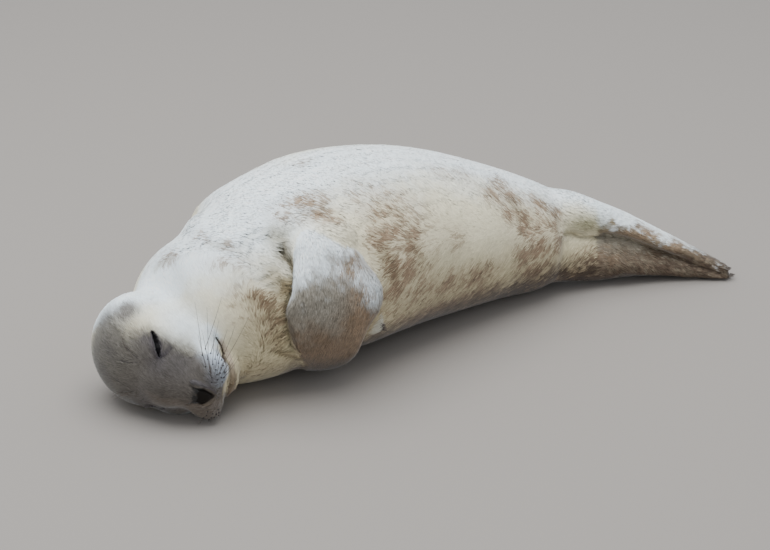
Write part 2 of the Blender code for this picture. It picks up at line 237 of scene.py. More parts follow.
def path_distance(p, path):
    """How far each point is from a line through points."""
    best = np.full(len(p), 1e3)
    for a, b in zip(path, path[1:]):
        along = b - a
        t = np.clip(((p - a) @ along) / max(along @ along, 1e-12), 0.0, 1.0)
        best = np.minimum(best, np.linalg.norm(p - a - t[:, None] * along, axis=1))
    return best


# ---------------------------------------------------------------- the skin's shape
def outer_shell():
    """One closed skin round all the flesh, out to the tips of the coat."""
    form = bmesh.new()
    for name in FLESH + EYES:
        form.from_mesh(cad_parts[name].data)
    bmesh.ops.remove_doubles(form, verts=form.verts, dist=0.00003)
    form.normal_update()
    moves = [(v, v.normal * SWELL) for v in form.verts]
    for v, move in moves:
        v.co += move
    mesh = bpy.data.meshes.new("shell")
    form.to_mesh(mesh)
    form.free()
    shell = add_object("shell", mesh)
    remesh = shell.modifiers.new("remesh", "REMESH")
    remesh.mode = "VOXEL"
    remesh.voxel_size = VOXEL
    graph = bpy.context.evaluated_depsgraph_get()
    whole = bpy.data.meshes.new_from_object(shell.evaluated_get(graph))
    bpy.data.objects.remove(shell)
    return whole


def largest(co, tris):
    """Drops all but the largest connected piece."""
    label = np.arange(len(co))
    a, b, c = tris.T
    while True:
        low = np.minimum(np.minimum(label[a], label[b]), label[c])
        new = label.copy()
        for k in (a, b, c):
            np.minimum.at(new, k, low)
        new = new[new]
        if (new == label).all():
            break
        label = new
    main = np.bincount(label).argmax()
    keep = label == main
    index = np.cumsum(keep) - 1
    return co[keep], index[tris[keep[tris[:, 0]]]]


def refine(co, tris, wanted):
    """Halves the edges of the triangles that wanted(middles) picks."""
    mesh = mesh_from("refined", co, tris)
    form = bmesh.new()
    form.from_mesh(mesh)
    form.faces.ensure_lookup_table()
    a, b, c = corners(co, tris)
    picked = np.nonzero(wanted((a + b + c) / 3))[0]
    edges = {e for i in picked for e in form.faces[i].edges}
    bmesh.ops.subdivide_edges(form, edges=list(edges), cuts=1, use_grid_fill=True)
    bmesh.ops.triangulate(form, faces=form.faces)
    form.to_mesh(mesh)
    form.free()
    made = arrays(mesh)
    bpy.data.meshes.remove(mesh)
    return made


def near_face(p):
    q = to_head(p)
    return (q[:, 0] > -0.01) & (np.abs(q[:, 1]) < 0.085) & (q[:, 2] > -0.10) & (q[:, 0] < 0.2)


def near_details(p):
    """Round the lids, the nose and the mouth."""
    q = to_head(p) * 1000.0
    side = mirrored(q)
    lids = np.linalg.norm(side - EYE_MIDDLE, axis=1) < 27
    nose = (side[:, 0] > 108) & (side[:, 1] < 24) & (q[:, 2] > -60)
    mouth = path_distance(side, np.array(MOUTH_LINE, dtype=float)) < 9
    return lids | nose | mouth


# Places and lines of the face, in millimetres in the head's frame, on the left side.
EYE_MIDDLE = (61, 50, 22)
EYE_LINE = [(42, 61, 19), (50, 56, 19), (58, 51, 20), (65, 46, 22), (71, 40, 23)]
LID_FOLD = [(71, 40, 23), (76, 38, 20), (77, 42, 13), (74, 48, 4)]
BROW_LINES = [[(35, 35, 49), (44, 31, 46), (54, 28, 42)],
              [(29, 16, 58), (42, 19, 52), (54, 23, 43)]]
MOUTH_LINE = [(83, 56, -60), (89, 46, -65), (98, 38, -66), (109, 36, -63), (119, 36, -58),
              (125, 34, -54), (131, 27, -50), (132, 16, -49), (130, 6, -49), (129, 0, -49)]
CHIN_LINE = [(87, 50, -67), (94, 39, -71), (101, 32, -72), (110, 24, -71), (117, 13, -70),
             (119, 0, -71)]
ALAR_LINE = [(120, 19, -5), (124, 20, -10), (129, 18, -16), (133, 15, -22), (135, 10, -29),
             (135, 4, -34)]
NOSTRIL_LINE = [(123, 13, -5), (129, 12, -11), (133, 9, -18), (135, 4, -26)]
LIP_CLEFT = [(137, 0, -33), (136, 0, -42), (129, 0, -50)]

# Folds of the body, in millimetres in the solids' drawing frame: (points, depth, width).
# The last, with a depth below 0, fills a part of the dip at the nape.
FOLDS = [
    ([(-262, 37, 221), (-251, 12, 220), (-242, 4, 222), (-230, -2, 224), (-220, 6, 231),
      (-211, 10, 235), (-199, 7, 237)], 0.9, 4.5),
    ([(-180, -30, 219), (-176, -39, 210), (-172, -47, 200), (-175, -57, 186)],
     9.0, 5.0),
    ([(-175, -57, 186), (-179, -62, 176), (-186, -68, 162), (-191, -72, 142), (-192, -74, 116),
      (-186, -70, 86)], 8.0, 5.0),
    ([(-253, -39, 182), (-243, -39, 189), (-229, -46, 187), (-205, -47, 194)], 1.2, 3.5),
    ([(333, 67, 100), (352, 74, 91), (373, 81, 82), (400, 84, 77)], 4.6, 4.0),
    ([(400, 84, 77), (417, 84, 75), (442, 80, 69), (470, 74, 61), (494, 58, 50), (528, 38, 34),
      (552, 18, 22), (575, 2, 13)], 3.6, 3.2),
    ([(-257, 105, 214), (-234, 138, 210), (-228, 152, 180), (-226, 160, 120)], -3.2, 14.0),
]


class Seal:
    """The skin's points, triangles and what is known at each point."""

    def normals(self):
        return vertex_normals(self.co, self.tris)

    def tree(self):
        return BVHTree.FromPolygons(self.co.tolist(), self.tris.tolist())

    def push(self, amount):
        self.co = self.co + self.net.smooth(self.normals(), 2) * amount[:, None]


def part_weights(co, net):
    """How much each point belongs to each part of the body."""
    verts, faces, owner = [], [], []
    for k, name in enumerate(FLESH):
        c, t = arrays(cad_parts[name].data)
        faces += (t + len(verts)).tolist()
        verts += c.tolist()
        owner += [k] * len(t)
    tree = BVHTree.FromPolygons(verts, faces)
    label = np.array([owner[tree.find_nearest(p)[2]] for p in co.tolist()])
    hot = np.zeros((len(co), len(FLESH)))
    hot[np.arange(len(co)), label] = 1.0
    hot = net.smooth(hot, 12)
    return {name: hot[:, k] for k, name in enumerate(FLESH)}


def thickness(seal):
    """How thick the flesh is under each point."""
    tree = seal.tree()
    out = np.empty(len(seal.co))
    normals = seal.normals()
    for i, (p, n) in enumerate(zip(seal.co.tolist(), (-normals).tolist())):
        hit = tree.ray_cast(Vector(p) + Vector(n) * 0.0005, Vector(n), 0.2)
        out[i] = hit[3] if hit[3] else 0.2
    return seal.net.smooth(out, 4)


def face_weight(q, part):
    """1 on the face, 0 on the crown, the throat and the rest of the body."""
    return head_weight(part) * fade(q[:, 0], -0.03, 0.06) * fade(q[:, 2], -0.105, -0.080)


def coat_depth(seal):
    """From the skin out to the coat's tips: thinner on the face, the hind end and underneath."""
    q = to_head(seal.co)
    part = seal.part
    face = face_weight(q, part)
    depth = 0.0026 + 0.0006 * fade(np.linalg.norm(q, axis=1), 0.09, 0.26)
    depth = depth * (1 - 0.25 * fade(seal.co[:, 0], 0.18, 0.32))
    depth = depth * (1 - face) + 0.0020 * face
    fore = np.minimum(1.0, part["left_foreflipper"] + part["right_foreflipper"])
    depth = depth * (1 - fore) + 0.0026 * fore
    under = fade(-seal.normals()[:, 2], 0.6, 0.95) * fade(-seal.co[:, 2], -0.03, -0.008)
    depth = depth * (1 - 0.65 * under)
    depth = np.minimum(depth, 0.20 * thickness(seal))
    return seal.net.smooth(depth, 6)


def snapped(tree, points, step=0.0012):
    """A line of points laid on the skin, in short steps."""
    points = np.asarray(points, dtype=float)
    dense = []
    for a, b in zip(points, points[1:]):
        n = max(1, int(np.linalg.norm(b - a) / step))
        dense += [a + (b - a) * k / n for k in range(n)]
    dense.append(points[-1])
    return np.array([tree.find_nearest(Vector(p))[0] for p in dense])


def face_path(tree, points, side=1):
    q = np.array(points, dtype=float) / 1000.0
    q[:, 1] *= side
    return snapped(tree, from_head(q))


def slit_width(q):
    """The dark slit between the lids is widest at its middle."""
    return 1.0 - 0.55 * fade(np.abs(q[:, 0] - 0.057), 0.003, 0.017)


def sculpt(seal):
    """Lids, nostrils, mouth, folds: moves along the skin's normals.

    seal.near keeps how far, in mm, each point of the face is from its lines.
    """
    tree = seal.tree()
    move = np.zeros(len(seal.co))
    q = to_head(seal.co)
    face = near_face(seal.co)
    index = np.nonzero(face)[0]
    p = seal.co[index]
    seal.near = np.full((len(seal.co), 6), 99.0)
    lids, fold, mouth, chin, alar, brow = seal.near.T

    def bump(distance, at, width):
        return np.exp(-(((distance - at) / width) ** 2))

    def reach(line, side, kept):
        d = path_distance(p, face_path(tree, line, side)) * 1000
        kept[index] = np.minimum(kept[index], d)
        return d

    for side in (1, -1):
        d = reach(EYE_LINE, side, lids) / slit_width(q[index])
        move[index] += -5.8 * bump(d, 0, 2.9) + 1.3 * bump(d, 6.4, 2.0) - 1.5 * bump(d, 12.0, 4.0)
        d = reach(LID_FOLD, side, fold)
        move[index] += -1.0 * bump(d, 0, 2.0) + 0.4 * bump(d, 4.5, 2.2)
        for line in BROW_LINES:
            d = reach(line, side, brow)
            move[index] += -1.2 * bump(d, 0, 1.1) + 0.6 * bump(d, 2.6, 1.2)
        d = reach(MOUTH_LINE, side, mouth)
        move[index] += -3.4 * bump(d, 0, 1.5) * np.where(side * q[index, 1] > -0.002, 1.0, 0.0)
        move[index] += 1.2 * bump(reach(CHIN_LINE, side, chin), 0, 3.0)
        move[index] += 1.5 * bump(reach(ALAR_LINE, side, alar), 0, 1.9)
        d = path_distance(p, face_path(tree, NOSTRIL_LINE, side)) * 1000
        move[index] += -4.2 * bump(d, 0, 1.7)
        pad = np.exp(-(np.linalg.norm((q[index] * 1000 - (123, 33 * side, -38)) / 14, axis=1) ** 2))
        move[index] += 1.2 * pad
    d = path_distance(p, face_path(tree, LIP_CLEFT)) * 1000
    move[index] += -1.3 * bump(d, 0, 1.2)
    seal.fold = np.zeros(len(seal.co))
    blade = seal.part["left_foreflipper"]
    for points, depth, width in FOLDS:
        d = path_distance(seal.co, snapped(tree, drawn(points), 0.003)) * 1000
        off = 1.0 - blade if depth > 6.5 else 1.0
        move += off * (-depth * bump(d, 0, width) + 0.3 * depth * bump(d, 2.2 * width, width))
        seal.fold = np.maximum(seal.fold, off * bump(d, 0, width) * min(1.0, depth / 10.0))
    move = np.clip(move, -12.0, 3.0)
    seal.push(move / 1000.0)


def body_angle(p):
    """Round the body's middle line: 0 towards the belly, a quarter turn at the top."""
    y = np.interp(p[:, 0], BODY_LINE[:, 0], BODY_LINE[:, 1])
    z = np.interp(p[:, 0], BODY_LINE[:, 0], BODY_LINE[:, 2])
    return np.arctan2(p[:, 2] - z, -(p[:, 1] - y))


def along_line(p, line):
    """The direction of a line at its nearest stretch, softly changing."""
    line = np.array(line) - MIDDLE
    ways = unit(np.diff(line, axis=0))
    middles = (line[1:] + line[:-1]) / 2
    d = np.stack([np.linalg.norm(p - m, axis=1) for m in middles])
    w = 1.0 / (d + 0.01) ** 3
    return unit(np.einsum("ki,kj->ij", w, ways))


def coat_flow(seal):
    """The lie of the coat: from the nose over the head, tailwards and in to the belly's line."""
    p, part = seal.co, seal.part
    angle = body_angle(p)
    round_way = np.column_stack((np.zeros(len(p)), np.sin(angle), np.cos(angle)))
    rise = np.sin(angle - MEETING)
    drift = -(1.35 + 0.75 * fade(rise, 0.4, 0.95)) * np.tanh(2.4 * rise)
    body = np.array((1.0, 0.03, 0.0)) + round_way * drift[:, None]
    roll = 0.9 * blob(p, drawn((-215, 10, 228)), (0.075, 0.07, 0.05))[:, None]
    body = body * (1 - roll) + np.array((0.55, -0.75, -0.35)) * roll
    q = to_head(p)
    back = -HEAD[:, 0] + 0.25 * (q[:, 1:2] / 0.06) * HEAD[:, 1] + 0.10 * HEAD[:, 2]
    nape = fade(-q[:, 0], 0.0, 0.09)[:, None]
    back = back * (1 - nape) + np.array((0.9, 0.5, 0.1)) * nape
    head = head_weight(part)[:, None]
    flow = body * (1 - head) + back * head
    for name, line in LIMB_LINES.items():
        w = part[name][:, None]
        way = along_line(p, line)
        if name == "left_foreflipper":
            way = way + np.array((-0.30, 0.0, 0.0)) * fade(p[:, 0:1], -0.26, -0.18)
        if name == "right_hindflipper":
            way = way + np.array((0.0, 0.0, -0.7))
        flow = flow * (1 - w) + way * w
    normals = seal.normals()
    for _ in range(25):
        flow = seal.net.smooth(flow, 1, 0.6)
        flow = unit(flow - normals * (flow * normals).sum(1)[:, None])
    return flow


def make_skin():
    seal = Seal()
    whole = outer_shell()
    co, tris = largest(*arrays(whole))
    bpy.data.meshes.remove(whole)
    net = Net(tris, len(co))
    soft = np.where(near_face(co), 0.22, 0.5)
    co = net.smooth(co, 12, soft)
    co, tris = refine(co, tris, near_face)
    co, tris = refine(co, tris, near_details)
    seal.co, seal.tris = co, tris
    seal.net = Net(tris, len(co))
    seal.co = seal.net.smooth(seal.co, 3, np.where(near_face(co), 0.5, 0.0))
    seal.part = part_weights(seal.co, seal.net)
    seal.depth = coat_depth(seal)
    seal.push(-seal.depth)
    sculpt(seal)
    seal.co[:, 2] = np.maximum(seal.co[:, 2], 0.0008)
    seal.flow = coat_flow(seal)
    seal.soft_normals = seal.net.smooth(seal.normals(), 6)
    return seal


# ---------------------------------------------------------------- markings
WHITE = srgb(237, 247, 252)
CREAM = srgb(228, 219, 188)
TAN = srgb(204, 192, 156)
OLIVE = srgb(130, 126, 94)
SAND = srgb(136, 114, 90)
UMBER = srgb(88, 70, 54)
SLATE = srgb(71, 65, 65)
DUSK = srgb(52, 46, 52)
ASH = srgb(150, 143, 135)
PAD = srgb(196, 209, 224)
GOLD = srgb(184, 168, 148)
# A painted highlight: grey for the left nostril's rim on the black nose.
ALAR_HIGHLIGHT = srgb(84, 80, 82)
BLACK = srgb(15, 12, 14)

# Sandy patches of the coat: centre and radii in mm in the solids' drawing frame, strength.
# The radii are divided by SANDY_SCALE to give metres, which draws them 1.15 times as wide.
SANDY_SCALE = 870.0
SANDY = [
    ((-30, 19, 259), (50, 40, 24), 0.45), ((-24, -8, 238), (40, 26, 26), 0.75),
    ((-6, -28, 214), (34, 22, 30), 0.95), ((14, -40, 185), (30, 24, 34), 0.90),
    ((4, -50, 150), (34, 24, 34), 1.00), ((-16, -54, 122), (36, 24, 32), 0.95),
    ((-30, -50, 176), (18, 24, 30), 0.80), ((42, -40, 104), (56, 30, 34), 0.80),
    ((90, -16, 92), (60, 30, 28), 0.80), ((150, 0, 86), (56, 30, 24), 0.80),
    ((110, 0, 45), (170, 60, 26), 0.95), ((132, 79, 238), (34, 26, 14), 0.50),
    ((170, 90, 222), (30, 26, 16), 0.50), ((205, 66, 196), (26, 24, 20), 0.80),
    ((234, 96, 194), (34, 30, 16), 0.75), ((246, 78, 180), (26, 22, 20), 1.00),
    ((224, 48, 168), (26, 22, 24), 0.90), ((250, 38, 140), (28, 20, 30), 1.00),
    ((272, 36, 98), (34, 22, 38), 1.00), ((264, 40, 52), (44, 26, 28), 1.00),
    ((296, 84, 158), (30, 22, 20), 0.95), ((322, 78, 136), (24, 20, 18), 0.95),
    ((304, 57, 128), (22, 20, 20), 1.00), ((310, 54, 84), (26, 22, 32), 0.95),
    ((238, 24, 88), (24, 22, 30), 0.95), ((-150, 30, 258), (24, 24, 18), 0.55),
    ((-122, -6, 256), (30, 20, 20), 0.90), ((-104, -18, 249), (24, 18, 18), 0.85),
    ((-78, 112, 280), (36, 16, 16), 0.45), ((-228, -62, 156), (20, 22, 18), 0.95),
    ((-214, -66, 136), (18, 24, 20), 0.75), ((-215, -70, 100), (16, 30, 30), 0.50),
    ((-250, 15, 222), (28, 16, 10), 0.45), ((-307, 76, 186), (26, 26, 16), 0.80),
    ((-205, -60, 40), (90, 60, 32), 0.45), ((-90, -84, 200), (34, 30, 20), 0.85),
    ((-85, -92, 120), (26, 30, 60), 0.95), ((-110, -80, 60), (60, 40, 36), 0.70),
    ((395, 55, 44), (60, 40, 26), 0.90), ((470, 40, 30), (70, 40, 18), 0.95),
    ((462, 46, 84), (46, 26, 12), 0.95), ((508, 34, 58), (40, 24, 12), 0.95),
    ((545, 14, 36), (34, 20, 10), 0.80), ((-34, -36, 208), (26, 22, 24), 1.00),
    ((-21, -54, 156), (26, 22, 30), 1.00), ((27, -24, 203), (30, 24, 24), 0.85),
    ((-33, 27, 265), (28, 20, 14), 0.50), ((99, -11, 168), (44, 26, 40), 0.40),
    ((251, 50, 154), (28, 22, 26), 1.00), ((231, 76, 188), (28, 22, 16), 0.90),
    ((296, 52, 128), (26, 20, 20), 0.75), ((-120, 26, 259), (40, 26, 16), 0.85),
    ((-112, -2, 252), (34, 22, 18), 0.75), ((-166, 13, 250), (26, 20, 12), 0.55),
    ((-240, -55, 150), (36, 30, 50), 0.42), ((-258, -14, 204), (36, 30, 22), 0.40),
    ((-262, 62, 216), (26, 30, 12), 0.45), ((-150, 30, 244), (60, 40, 16), 0.35),
]

# The bright front edge of the left foreflipper's blade, in the same frame.
BLADE_RIM = [(-146, -60, 232), (-163, -64, 222), (-176, -69, 204), (-186, -75, 170)]

# Painted shade in the creases and hollows of the coat, partly a browner coat, along lines in the
# same frame: points, radius, shade.
PAINTED_SHADE_LINES = [
    ([(-188, -2, 237), (-184, -16, 231), (-182, -30, 220)], 22.0, 0.66),
    ([(-180, -32, 218), (-176, -39, 210), (-172, -47, 200)], 18.0, 0.34),
    ([(-206, -45, 200), (-202, -56, 184), (-198, -66, 160), (-203, -70, 130), (-204, -71, 100)],
     28.0, 0.62),
    ([(-192, -58, 180), (-194, -64, 168)], 17.0, 0.36),
    ([(-232, -62, 158), (-224, -68, 138)], 20.0, 0.72),
    ([(-226, -50, 190), (-212, -52, 197)], 12.0, 0.75),
    ([(-262, 37, 221), (-251, 12, 220), (-238, 2, 222), (-222, 4, 230), (-208, 10, 235)],
     15.0, 0.80),
    ([(-206, -66, 76), (-188, -62, 66), (-170, -56, 58)], 14.0, 0.40),
    ([(-214, -34, 214), (-212, -50, 184), (-216, -62, 150)], 52.0, 0.86),
    ([(-236, -70, 118), (-218, -72, 96)], 28.0, 0.78),
    ([(-36, -46, 188), (-22, -52, 150)], 24.0, 0.66),
    ([(16, -40, 186), (30, -44, 150)], 26.0, 0.76),
    ([(240, 70, 176), (252, 52, 150)], 24.0, 0.72),
    ([(-307, 74, 186), (-318, 84, 170)], 20.0, 0.70),
    ([(-160, 6, 250), (-112, 8, 256)], 46.0, 0.92),
]


# Dark shades round the eye and up the muzzle: colour, strength, centre, radii, as for EYE_LINE.
EYE_SHADES = [
    (DUSK, 0.50, (78, 28, 26), (22, 16, 14)), (SLATE * 0.9, 0.90, (50, 54, 28), (26, 14, 16)),
    (SLATE, 0.75, (68, 50, 10), (22, 12, 13)), (DUSK * 0.5, 0.80, (76, 38, 21), (9, 8, 8)),
    (SLATE * 0.52, 0.70, (90, 28, 0), (36, 26, 28)),
]


def head_colour(p, colour, near):
    """The face: white cheek, slate forehead and muzzle, pale pad, black nose, golden lip, with
    painted shade in its creases and on its side towards the floor.
    """
    q = to_head(p) * 1000.0
    s = mirrored(q)
    lids, fold, mouth, chin, alar, brow = near.T
    under = fade(-q[:, 1], 2, 16)
    ragged = noise(p, 0.012, 31) * 0.5 + noise(p, 0.005, 32) * 0.5
    colour = mix(colour, WHITE * 0.88, 0.9 * blob(s, (58, 68, -24), (66, 30, 42)))
    top = s[:, 1] - 0.75 * s[:, 2] - 0.25 * np.maximum(0, s[:, 0] - 40)
    # The last term pulls the side towards the floor into the dark: painted shade.
    top = top + 14 * (1 - fade(s[:, 0], 25, 60)) + 20 * (ragged - 0.5) - 18 * fade(-q[:, 1], 20, 50)
    top = top - 0.9 * np.clip(s[:, 0] - 80, 0, 40)
    dark = (1 - fade(top, 19, 70)) * fade(s[:, 0], -66, -20) * fade(s[:, 2], -56, -44)
    brown = mix(ASH * 0.28, SLATE * 0.84, fade(s[:, 0], 15, 70))
    colour = mix(colour, brown, 0.94 * dark)
    colour = mix(colour, SLATE * 0.7, 0.6 * blob(s, (10, 20, 60), (30, 24, 18)) * ragged)
    ear = blob(s, (-3, 66, 32), (27, 19, 30)) * (0.6 + 0.8 * ragged)
    colour = mix(colour, ASH * 0.42, 0.95 * fade(ear, 0.05, 0.95))
    for tone, strength, centre, radii in EYE_SHADES:
        colour = mix(colour, tone, strength * blob(s, centre, radii))
    pad = fade(-s[:, 2], 17, 44) * fade(s[:, 0], 84, 97) * fade(s[:, 1], 10, 24)
    pad = pad * fade(s[:, 2], -64, -59) * (1 - 0.50 * fade(s[:, 0], 118, 133))
    colour = mix(colour, PAD, 0.94 * pad)
    colour = mix(colour, WHITE, 0.95 * fade(blob(s, (86, 56, -46), (26, 18, 24)), 0.1, 0.6))
    # A slight darkening beside the nose: painted shade among the whisker spots.
    colour = mix(colour, SLATE * 1.5, 0.5 * fade(blob(s, (137, 24, -28), (10, 12, 14)), 0.2, 0.8))
    # Darker and browner on the side towards the floor, the lip too: painted shade, with some dirt.
    colour = mix(colour, mix(SAND, ASH, 0.5) * 0.48, 0.88 * under * fade(s[:, 0], 62, 96))
    lip = mix(SAND * 0.5, GOLD, fade(q[:, 1], 4, 26))
    colour = mix(colour, lip, 0.85 * (1 - fade(chin, 3.0, 6.5)))
    width = slit_width(q / 1000.0)
    colour = mix(colour, DUSK, 0.92 * (1 - fade(lids / width, 3.5, 11.5)))
    colour = mix(colour, BLACK, 1 - fade(lids / width, 3.8, 6.4))
    # Painted shade in the lid fold and the brow creases.
    colour = mix(colour, DUSK, 0.55 * (1 - fade(fold, 0.8, 5.0)))
    colour = mix(colour, DUSK, 0.60 * (1 - fade(brow, 0.3, 1.8)))
    # Painted shade in the mouth's crease, widest at its corner, and in the gap under the pad.
    wide = fade(s[:, 0], 93, 106) * fade(-s[:, 2], 52, 57)
    slit = 1 - fade(mouth, 0.8 + 3.4 * wide, 2.6 + 5.0 * wide)
    colour = mix(colour, UMBER * 0.45, 0.92 * slit)
    gap = fade(s[:, 2], -70.5, -66.5) * (1 - fade(s[:, 2], -62, -57)) * fade(s[:, 0], 92, 103)
    colour = mix(colour, UMBER * 0.45, 0.62 * gap)
    nose = 1 - fade(s[:, 1] + 0.75 * np.maximum(0, -s[:, 2] - 16), 11.5, 14.5)
    nose = nose * (1 - fade(s[:, 2], -8, -4)) * fade(s[:, 2], -38, -34) * fade(s[:, 0], 116, 121)
    colour = mix(colour, BLACK * 0.2, nose)
    # The left nostril's rim painted grey as a highlight; the right one stays black, as in shade.
    return mix(colour, ALAR_HIGHLIGHT, 0.85 * (1 - fade(alar, 1.2, 3.0)) * fade(q[:, 1], -1, 5))


def body_colour(p, angle):
    """White above, cream on the side, tan and sand towards the floor; no sand on the neck."""
    slow = noise(p, 0.045, 4) - 0.5
    turn = np.degrees(angle) + 16 * slow + 8 * (noise(p, 0.012, 5) - 0.5)
    turn = np.where(np.abs(turn) > 90, 180 - np.abs(turn), turn)
    colour = mix(CREAM, WHITE, fade(turn, 32, 86))
    colour = mix(TAN, colour, fade(turn, -22, 24))
    colour = mix(SAND, colour, fade(turn, -52, -16))
    neck = mix(mix(TAN, CREAM, fade(turn, -25, 25)), WHITE, fade(turn, 22, 60))
    return mix(neck, colour, fade(p[:, 0] * 1000.0, -278, -158))


def limb_colour(p, colour, weights):
    """The foreflipper from white at the shoulder to grey-brown; the hind ones white on top, the
    lower one with painted shade, dark below and light along its top edge.
    """
    fore = fade(weights["left_foreflipper"], 0.3, 0.8)
    ragged = 0.03 * (noise(p, 0.012, 41) - 0.5) + 0.02 * (noise(p, 0.005, 42) - 0.5)
    streak = noise(p * np.array((4.0, 1.0, 0.8)), 0.020, 43) - 0.5
    down = fade(0.236 + 1.4 * ragged + 0.030 * streak - p[:, 2], 0.0, 0.062)
    blade = mix(WHITE, mix(ASH, CREAM * 0.8, 0.25) * 0.64, down)
    blade = mix(blade, SAND * 0.66, fade(0.150 + ragged - p[:, 2], 0.0, 0.06))
    blade = mix(blade, SAND * 0.75, 0.7 * blob(p, drawn((-92, -96, 130)), (0.032, 0.05, 0.060)))
    lobes = blob(p, drawn((-68, -88, 164)), (0.017, 0.03, 0.026))
    lobes = lobes + blob(p, drawn((-90, -82, 188)), (0.013, 0.03, 0.012))
    blade = mix(blade, WHITE, np.clip(1.2 * lobes, 0, 0.9))
    rim = path_distance(p, drawn(BLADE_RIM))
    blade = mix(blade, WHITE, 0.80 * (1 - fade(rim, 0.002, 0.013)))
    blade = blade * (1 + 0.22 * streak[:, None] * down[:, None])
    colour = mix(colour, blade, fore)
    # The lower hind flipper: painted shade, darkest at the bottom and lightest along its top edge.
    low = fade(weights["right_hindflipper"], 0.2, 0.8)
    line = np.interp(p[:, 0] + MIDDLE[0], (0.37, 0.45, 0.49, 0.53, 0.59),
                     (0.082, 0.067, 0.052, 0.036, 0.013))
    up = (p[:, 2] + 0.5 * ragged) / line
    leg_shade = mix(UMBER * 0.5, mix(SAND, ASH, 0.5) * 0.38, fade(up, 0.10, 0.60))
    colour = mix(colour, mix(leg_shade, mix(ASH, CREAM, 0.25) * 0.9, fade(up, 0.70, 1.0)), 0.92 * low)
    high = fade(weights["left_hindflipper"], 0.2, 0.8)
    thick = np.interp(p[:, 0] + MIDDLE[0], (0.37, 0.45, 0.53, 0.59), (0.034, 0.017, 0.010, 0.006))
    level = np.interp(p[:, 0] + MIDDLE[0], (0.37, 0.41, 0.45, 0.49, 0.53, 0.59),
                      (0.109, 0.103, 0.090, 0.069, 0.048, 0.019))
    edge = fade((p[:, 2] - level + 0.8 * ragged) / thick, -0.25, 0.45)
    return mix(colour, mix(SAND * 0.66, WHITE, edge), 0.9 * high)


def markings(p, weights, near, grit=0.5):
    """The colour of skin and coat at points, from one set of rules; grit is each tuft's own."""
    angle = body_angle(p)
    grain = noise(p, 0.0034, 1) * 0.40 + noise(p, 0.0085, 2) * 0.25 + noise(p, 0.022, 3) * 0.15
    grain = grain + 0.20 * grit
    colour = body_colour(p, angle)
    head = head_weight(weights)
    colour = mix(colour, head_colour(p, colour, near), fade(head, 0.25, 0.75))
    colour = limb_colour(p, colour, weights)
    slow = noise(p, 0.050, 6)
    olive = 0.55 * slow * blob(p, drawn((90, 0, 110)), (0.13, 0.08, 0.07))
    # The next two are painted shade: dark olive in the hollow between the hind flippers and in the
    # armpit.
    olive += 0.85 * blob(p, drawn((372, 72, 110)), (0.042, 0.03, 0.020))
    olive += 0.6 * blob(p, drawn((-180, -12, 236)), (0.020, 0.03, 0.020))
    colour = mix(colour, OLIVE, np.clip(olive, 0, 0.85))
    sandy = np.zeros(len(p))
    for centre, radii, strength in SANDY:
        sandy = np.maximum(sandy, strength * blob(p, drawn(centre), np.array(radii) / SANDY_SCALE))
    along = p[:, 0] + MIDDLE[0]
    bands = np.exp(-(((along - 0.005) / 0.064) ** 2)) + np.exp(-(((along - 0.272) / 0.058) ** 2))
    bands = bands * (1 - fade(np.abs(np.degrees(angle)), 46, 80)) * (0.7 + 0.6 * slow)
    sandy = np.maximum(sandy, 0.55 * bands * (1 - fade(head, 0.1, 0.5)))
    # Darker, sandier and browner low down behind the head: partly painted shade near the floor,
    # partly sand.
    edge = fade(0.074 - p[:, 2], 0.0, 0.045) * fade(p[:, 0], -0.33, -0.20)
    sandy = np.maximum(sandy, 0.8 * edge)
    right = fade(weights["right_foreflipper"], 0.3, 0.8)
    sandy = sandy * (1 - 0.85 * right)
    colour = mix(colour, mix(WHITE, CREAM, 0.6) * 0.85, 0.8 * right)
    fleck = fade(grain, 0.62 - 0.26 * sandy, 0.72 - 0.26 * sandy)
    colour = mix(colour, SAND, np.clip(0.54 * sandy + 0.55 * fleck * fade(sandy, 0.02, 0.4), 0, 1))
    colour = mix(colour, UMBER * 0.6, 0.93 * edge * fade(grain, 0.20, 0.55))
    # Painted shade along those creases and hollows, browning as it darkens.
    for points, radius, shade in PAINTED_SHADE_LINES:
        near_line = path_distance(p, drawn(points)) * 1000.0
        tint = np.array((shade, shade**1.12, shade**1.35))
        colour = mix(colour, colour * tint, 1 - fade(near_line, 0.1 * radius, radius))
    hind = fade(p[:, 0], 0.28, 0.34) * fade(noise(p, 0.005, 9) * 0.6 + 0.4 * grit, 0.58, 0.72)
    return mix(colour, CREAM * 0.9, 0.12 * hind)


# ---------------------------------------------------------------- materials
def principled(name, roughness, **values):
    made = bpy.data.materials.new(name)
    made.use_nodes = True
    shader = made.node_tree.nodes["Principled BSDF"]
    shader.inputs["Roughness"].default_value = roughness
    for key, value in values.items():
        shader.inputs[key.replace("_", " ")].default_value = value
    return made, made.node_tree, shader


def node(tree, kind, **values):
    made = tree.nodes.new(kind)
    for key, value in values.items():
        if key in made.inputs:
            made.inputs[key].default_value = value
        else:
            setattr(made, key, value)
    return made


def coat_colour(tree, shader, low, high, scale):
    """The painted markings, with a fine streak of light and dark."""
    paint_node = node(tree, "ShaderNodeAttribute", attribute_name="Coat")
    where = node(tree, "ShaderNodeTexCoord")
    streak = node(tree, "ShaderNodeTexNoise", Scale=scale, Detail=3.0, Roughness=0.6)
    level = node(tree, "ShaderNodeMapRange")
    level.inputs["From Min"].default_value = 0.3
    level.inputs["From Max"].default_value = 0.7
    level.inputs["To Min"].default_value = low
    level.inputs["To Max"].default_value = high
    times = node(tree, "ShaderNodeVectorMath", operation="SCALE")
    tree.links.new(where.outputs["Object"], streak.inputs["Vector"])
    tree.links.new(streak.outputs["Fac"], level.inputs["Value"])
    tree.links.new(paint_node.outputs["Color"], times.inputs[0])
    tree.links.new(level.outputs["Result"], times.inputs["Scale"])
    tree.links.new(times.outputs["Vector"], shader.inputs["Base Color"])
    return where


